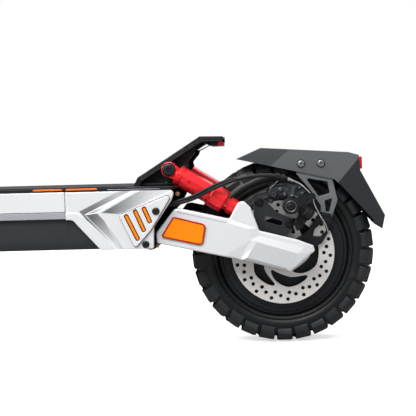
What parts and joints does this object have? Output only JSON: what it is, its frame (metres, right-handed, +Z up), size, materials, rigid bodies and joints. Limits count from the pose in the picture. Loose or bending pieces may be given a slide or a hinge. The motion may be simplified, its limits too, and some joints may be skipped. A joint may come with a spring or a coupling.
{
  "type": "electric kick scooter",
  "caption": "Folding electric kick scooter with wide deck, twin-shock swingarms, knobbly tyres, disc brakes, kick plate, stem with bar, levers, throttle and kickstand.",
  "frame": {"origin": "On the ground, under the middle of the scooter's length, on its centre plane.", "axes": "+X towards the rear wheel, +Y the scooter's right, +Z up. Azimuth 0 looks along +Y at the left side, with the front to the left."},
  "size_m": [1.2536, 0.616, 1.2264],
  "materials": {
    "silver_paint": "satin",
    "black_coat": "satin",
    "hub_casting": "satin",
    "tyre_rubber": "matte",
    "grip_rubber": "matte",
    "disc_steel": "brushed",
    "red_anodised": "gloss",
    "orange_reflector": "gloss",
    "red_lens": "gloss",
    "grey_paint": "satin",
    "black_plastic": "matte",
    "button_red": "gloss",
    "controller_case": "satin"
  },
  "bodies": {
    "deck": {"deck_tub": "black_coat", "deck_plate": "black_coat", "grip_mat": "grip_rubber", "side_panel_left": "silver_paint", "side_panel_right": "silver_paint", "battery_pack": "black_plastic", "motor_controller": "controller_case", "rear_frame": "silver_paint", "rear_pivot_axle": "black_coat", "corner_cover_left": "silver_paint", "corner_cover_right": "silver_paint", "kick_plate": "black_coat", "kick_light": "red_lens", "rear_shock_bolt": "black_coat", "neck": "silver_paint"},
    "rear_arm": {"rear_swingarm": "silver_paint", "arm_reflector_left": "orange_reflector", "arm_reflector_right": "orange_reflector", "rear_caliper_bracket": "black_coat", "rear_caliper": "black_coat", "rear_fender": "black_coat", "fender_bracket": "grey_paint", "tail_light": "red_lens", "rear_axle": "disc_steel", "rear_brake_cable": "grip_rubber"},
    "rear_caliper_lever": {"rear_caliper_lever": "black_coat"},
    "rear_wheel": {"rear_hub_motor": "hub_casting", "rear_tyre": "tyre_rubber", "rear_brake_disc": "disc_steel"},
    "rear_shock_upper": {"rear_shock_tube_left": "red_anodised", "rear_shock_tube_right": "red_anodised"},
    "rear_shock_lower": {"rear_shock_rod_left": "red_anodised", "rear_shock_rod_right": "red_anodised"},
    "steering": {"fork": "silver_paint", "front_pivot_axle": "black_coat", "fold_base": "black_coat", "headlight": "black_plastic", "front_fender": "black_coat"},
    "front_arm": {"front_swingarm": "silver_paint", "front_caliper": "black_coat", "front_axle": "disc_steel"},
    "front_caliper_lever": {"front_caliper_lever": "black_coat"},
    "front_wheel": {"front_hub_motor": "hub_casting", "front_tyre": "tyre_rubber", "front_brake_disc": "disc_steel"},
    "front_shock_upper": {"front_shock_tube_left": "red_anodised", "front_shock_tube_right": "red_anodised"},
    "front_shock_lower": {"front_shock_rod_left": "red_anodised", "front_shock_rod_right": "red_anodised"},
    "stem": {"stem_tube": "black_coat", "handlebar": "black_coat", "grip_left": "grip_rubber", "grip_right": "grip_rubber", "display": "black_plastic"},
    "fold_lever": {"fold_lever": "red_anodised"},
    "brake_lever_left": {"brake_lever_left": "black_coat"},
    "brake_lever_right": {"brake_lever_right": "black_coat"},
    "throttle": {"throttle_paddle": "black_plastic"},
    "power_button": {"power_button": "button_red"},
    "kickstand": {"kickstand": "black_coat"}
  },
  "joints": [
    {"name": "rear_swing", "type": "hinge", "parent": "deck", "child": "rear_arm", "pos_m": [0.30725, 0, 0.1473], "axis": [0, -1, 0], "range_deg": [0, 8], "stiffness_Nm_per_rad": 450, "springref_deg": -5.73},
    {"name": "rear_spin", "type": "hinge", "parent": "rear_arm", "child": "rear_wheel", "pos_m": [0.48625, 0, 0.128], "axis": [0, 1, 0], "continuous": true},
    {"name": "rear_shock_tilt", "type": "hinge", "parent": "deck", "child": "rear_shock_upper", "pos_m": [0.33625, 0, 0.2437], "axis": [0, -1, 0], "range_deg": [0, 6.63]},
    {"name": "rear_shock_stroke", "type": "slide", "parent": "rear_shock_upper", "child": "rear_shock_lower", "axis": [-0.8472, 0, 0.5312], "range_m": [0, 0.01403]},
    {"name": "steer", "type": "hinge", "parent": "deck", "child": "steering", "pos_m": [-0.42698, 0, 0.38812], "axis": [0.2419, 0, 0.9703], "range_deg": [-45, 45]},
    {"name": "front_swing", "type": "hinge", "parent": "steering", "child": "front_arm", "pos_m": [-0.31975, 0, 0.1473], "axis": [0, 1, 0], "range_deg": [0, 8], "stiffness_Nm_per_rad": 450, "springref_deg": -5.73},
    {"name": "front_spin", "type": "hinge", "parent": "front_arm", "child": "front_wheel", "pos_m": [-0.49875, 0, 0.128], "axis": [0, 1, 0], "continuous": true},
    {"name": "front_shock_tilt", "type": "hinge", "parent": "steering", "child": "front_shock_upper", "pos_m": [-0.34875, 0, 0.2437], "axis": [0, 1, 0], "range_deg": [0, 6.63]},
    {"name": "front_shock_stroke", "type": "slide", "parent": "front_shock_upper", "child": "front_shock_lower", "axis": [0.8472, 0, 0.5312], "range_m": [0, 0.01403]},
    {"name": "stem_fold", "type": "hinge", "parent": "steering", "child": "stem", "pos_m": [-0.37055, 0, 0.478], "axis": [0, 1, 0], "range_deg": [0, 84]},
    {"name": "fold_latch", "type": "hinge", "parent": "steering", "child": "fold_lever", "pos_m": [-0.44125, 0, 0.482], "axis": [0, -1, 0], "range_deg": [0, 80]},
    {"name": "brake_left", "type": "hinge", "parent": "stem", "child": "brake_lever_left", "pos_m": [-0.25715, -0.15, 1.18958], "axis": [0, 0, 1], "range_deg": [0, 14], "stiffness_Nm_per_rad": 1.5, "springref_deg": -6.88},
    {"name": "brake_right", "type": "hinge", "parent": "stem", "child": "brake_lever_right", "pos_m": [-0.25715, 0.15, 1.18958], "axis": [0, 0, -1], "range_deg": [0, 14], "stiffness_Nm_per_rad": 1.5, "springref_deg": -6.88},
    {"name": "rear_caliper_arm", "type": "hinge", "parent": "rear_arm", "child": "rear_caliper_lever", "pos_m": [0.49805, -0.09, 0.1914], "axis": [0, -1, 0], "range_deg": [0, 22.5]},
    {"name": "front_caliper_arm", "type": "hinge", "parent": "front_arm", "child": "front_caliper_lever", "pos_m": [-0.51055, -0.09, 0.1914], "axis": [0, 1, 0], "range_deg": [0, 22.5]},
    {"name": "throttle_turn", "type": "hinge", "parent": "stem", "child": "throttle", "pos_m": [-0.22715, 0.12, 1.18958], "axis": [0, 1, 0], "range_deg": [0, 30], "stiffness_Nm_per_rad": 0.3, "springref_deg": -8.59},
    {"name": "power_press", "type": "slide", "parent": "stem", "child": "power_button", "axis": [-0.3511, 0, -0.9363], "range_m": [0, 0.0012], "stiffness_N_per_m": 400, "springref_m": -0.001},
    {"name": "stand_fold", "type": "hinge", "parent": "deck", "child": "kickstand", "pos_m": [-0.10375, -0.072, 0.128], "axis": [0, -0.9, 0.4359], "range_deg": [0, 84]}
  ],
  "couplings": [
    {"joint": "rear_shock_tilt", "follows": "rear_swing", "ratio": 0.8103},
    {"joint": "rear_shock_stroke", "follows": "rear_swing", "m_per_rad": 0.09836},
    {"joint": "front_shock_tilt", "follows": "front_swing", "ratio": 0.8103},
    {"joint": "front_shock_stroke", "follows": "front_swing", "m_per_rad": 0.09836},
    {"joint": "rear_caliper_arm", "follows": "brake_left", "ratio": 1.6},
    {"joint": "front_caliper_arm", "follows": "brake_right", "ratio": 1.6}
  ]
}
